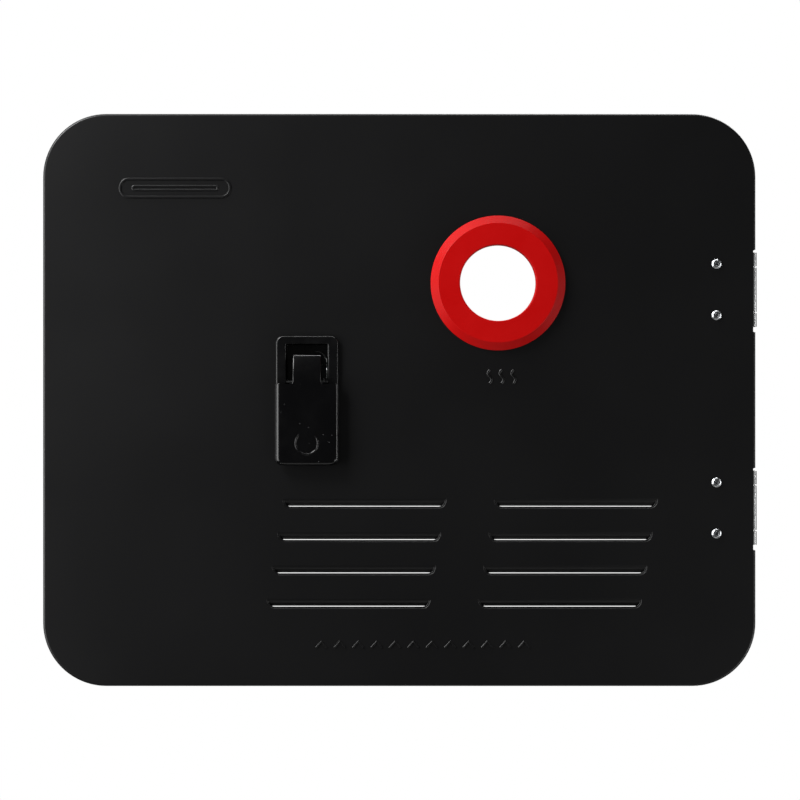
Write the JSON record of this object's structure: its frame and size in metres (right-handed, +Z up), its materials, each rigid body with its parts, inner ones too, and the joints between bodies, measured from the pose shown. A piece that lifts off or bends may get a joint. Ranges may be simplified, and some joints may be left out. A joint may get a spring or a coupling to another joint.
{
  "type": "vented access door",
  "caption": "Vented steel access door for a recessed tankless water heater, with exhaust ring, louvres, pull latch and two side hinges.",
  "frame": {"origin": "centre of the upper wall leaf's back face, on the wall plane", "axes": "+Z up, +X to the right as seen from outside, +Y into the wall, so the door's face looks along -Y"},
  "size_m": [0.4811, 0.031, 0.3855],
  "materials": {
    "powder_coat": "satin black powder coat",
    "black_plastic": "satin moulded nylon",
    "lever_plastic": "glossy moulded nylon",
    "red_silicone": "smooth satin red",
    "foam": "closed-cell foam skin",
    "zinc_steel": "zinc plated",
    "stainless": "bare satin stainless",
    "rivet_aluminium": "bare aluminium"
  },
  "bodies": {
    "wall_side": {"upper_wall_leaf": "stainless", "upper_hinge_pin": "stainless", "lower_wall_leaf": "stainless", "lower_hinge_pin": "stainless"},
    "door": {"door_panel": "powder_coat", "perimeter_seal": "foam", "exhaust_ring": "red_silicone", "exhaust_ring_retainer": "zinc_steel", "latch_base": "black_plastic", "latch_clamp_plate": "zinc_steel", "latch_screw_lower_left": "zinc_steel", "latch_screw_lower_right": "zinc_steel", "latch_screw_upper_left": "zinc_steel", "latch_screw_upper_right": "zinc_steel", "latch_bolt_guide": "zinc_steel", "guide_screw_left": "zinc_steel", "guide_screw_right": "zinc_steel", "latch_pivot_pin": "stainless", "lever_torsion_spring": "stainless", "bolt_compression_spring": "stainless", "upper_door_leaf": "stainless", "lower_door_leaf": "stainless", "upper_rivet_top": "rivet_aluminium", "upper_rivet_bottom": "rivet_aluminium", "lower_rivet_top": "rivet_aluminium", "lower_rivet_bottom": "rivet_aluminium"},
    "lever": {"latch_lever": "lever_plastic"},
    "bolt": {"latch_bolt": "zinc_steel"}
  },
  "joints": [
    {"name": "door_hinge", "type": "hinge", "parent": "wall_side", "child": "door", "pos_m": [0.0115, -0.01309, 0], "axis": [0, 0, 1], "range_deg": [0, 110]},
    {"name": "lever_pull", "type": "hinge", "parent": "door", "child": "lever", "pos_m": [-0.2892, -0.01339, -0.0624], "axis": [-1, 0, 0], "range_deg": [0, 30], "stiffness_Nm_per_rad": 0.08, "springref_deg": -17.19, "deforming": ["lever_torsion_spring"]},
    {"name": "bolt_slide", "type": "slide", "parent": "door", "child": "bolt", "axis": [0, 0, -1], "range_m": [0, 0.0062], "stiffness_N_per_m": 100, "springref_m": -0.006, "deforming": ["bolt_compression_spring"]}
  ],
  "couplings": [
    {"joint": "bolt_slide", "follows": "lever_pull", "m_per_rad": 0.011459}
  ]
}
